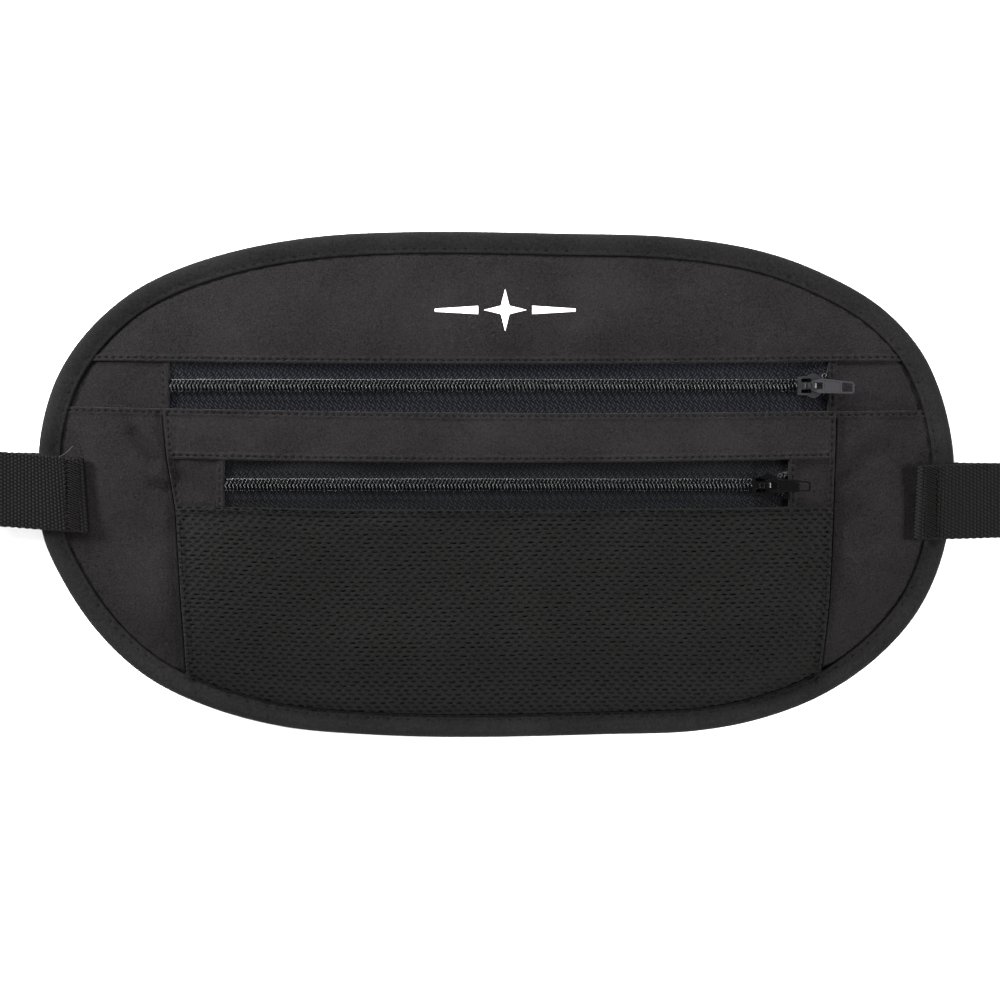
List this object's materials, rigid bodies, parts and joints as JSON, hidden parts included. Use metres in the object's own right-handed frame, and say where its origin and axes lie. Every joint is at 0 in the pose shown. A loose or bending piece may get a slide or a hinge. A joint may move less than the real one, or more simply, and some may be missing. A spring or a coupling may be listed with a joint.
{
  "type": "money belt",
  "caption": "Slim oval zipped waist pouch with a front patch pocket, bound edge and adjustable webbing strap closed by a side-release buckle.",
  "frame": {"origin": "on the table under the middle of the whole belt as it lies on its back with the strap clasped and folded flat behind it", "axes": "+X along the belt's width to the wearer's left, +Y to the pouch's top edge, +Z out of the pouch's front"},
  "size_m": [0.568, 0.1693, 0.0194],
  "materials": {
    "cloth": "plain woven polyester, matte, charcoal",
    "foam": "thin spacer foam",
    "mesh": "knitted mesh with brick dashes, matte black",
    "binding": "smooth folded tape",
    "tape": "herringbone zip tape, navy black",
    "coil": "nylon monofilament, slight sheen",
    "grey_metal": "semi-gloss mid grey paint",
    "black_metal": "gloss black paint",
    "webbing": "ribbed polypropylene webbing, brown black",
    "thread": "black polyester thread",
    "plastic": "moulded acetal, fine grain"
  },
  "bodies": {
    "root": {"top_panel": "cloth", "front_panel": "cloth", "upper_tab_left": "cloth", "upper_tab_right": "cloth", "back_panel": "cloth", "main_lining": "cloth", "pocket_band": "cloth", "lower_tab_left": "cloth", "lower_tab_right": "cloth", "back_padding": "foam", "mesh_panel": "mesh", "edge_binding": "binding", "upper_tape_top": "tape", "lower_tape_top": "tape", "upper_coil_top": "coil", "lower_coil_top": "coil", "strap_left": "webbing", "strap_right": "webbing", "strap_feed": "webbing", "strap_tail": "webbing", "bartack_left": "thread", "bartack_right": "thread", "buckle_female": "plastic"},
    "upper_slider": {"upper_slider": "grey_metal"},
    "upper_pull": {"upper_pull": "grey_metal"},
    "upper_lip": {"upper_tape_bottom": "tape", "upper_coil_bottom": "coil"},
    "lower_slider": {"lower_slider": "black_metal"},
    "lower_pull": {"lower_pull": "black_metal"},
    "lower_lip": {"lower_tape_bottom": "tape", "lower_coil_bottom": "coil"},
    "buckle_male": {"buckle_male": "plastic"},
    "prong_top": {"buckle_prong_top": "plastic"},
    "prong_bottom": {"buckle_prong_bottom": "plastic"},
    "strap_keeper": {"strap_keeper": "plastic"}
  },
  "joints": [
    {"name": "upper_zip_slide", "type": "slide", "parent": "root", "child": "upper_slider", "axis": [-1, 0, 0], "range_m": [0, 0.208], "deforming": ["upper_coil_top", "upper_coil_bottom", "upper_tape_top", "upper_tape_bottom"]},
    {"name": "upper_pull_tilt", "type": "hinge", "parent": "upper_slider", "child": "upper_pull", "pos_m": [0.105, 0.03235, 0.01275], "axis": [0, -1, 0], "range_deg": [0, 170]},
    {"name": "upper_mouth_open", "type": "slide", "parent": "root", "child": "upper_lip", "axis": [0, -1, 0], "range_m": [0, 0.006]},
    {"name": "lower_zip_slide", "type": "slide", "parent": "root", "child": "lower_slider", "axis": [-1, 0, 0], "range_m": [0, 0.174], "deforming": ["lower_coil_top", "lower_coil_bottom", "lower_tape_top", "lower_tape_bottom"]},
    {"name": "lower_pull_tilt", "type": "hinge", "parent": "lower_slider", "child": "lower_pull", "pos_m": [0.0895, -0.0008, 0.01825], "axis": [0, -1, 0], "range_deg": [0, 170]},
    {"name": "lower_mouth_open", "type": "slide", "parent": "root", "child": "lower_lip", "axis": [0, -1, 0], "range_m": [0, 0.006]},
    {"name": "buckle_release", "type": "slide", "parent": "root", "child": "buckle_male", "axis": [-1, 0, 0], "range_m": [0, 0.022], "deforming": ["strap_feed", "strap_tail", "buckle_prong_top", "buckle_prong_bottom"]},
    {"name": "buckle_squeeze_top", "type": "hinge", "parent": "buckle_male", "child": "prong_top", "pos_m": [-0.209, 0.0095, 0.0064], "axis": [0, 0, -1], "range_deg": [0, 9], "stiffness_Nm_per_rad": 0.1},
    {"name": "buckle_squeeze_bottom", "type": "hinge", "parent": "buckle_male", "child": "prong_bottom", "pos_m": [-0.209, -0.0103, 0.0064], "axis": [0, 0, -1], "range_deg": [-9, 0], "stiffness_Nm_per_rad": 0.1},
    {"name": "keeper_slide", "type": "slide", "parent": "buckle_male", "child": "strap_keeper", "axis": [-1, 0, 0], "range_m": [-0.004, 0.004]}
  ],
  "couplings": [
    {"joint": "upper_mouth_open", "follows": "upper_zip_slide", "ratio": 0.0288},
    {"joint": "lower_mouth_open", "follows": "lower_zip_slide", "ratio": 0.0344},
    {"joint": "buckle_squeeze_bottom", "follows": "buckle_squeeze_top", "ratio": -1}
  ]
}
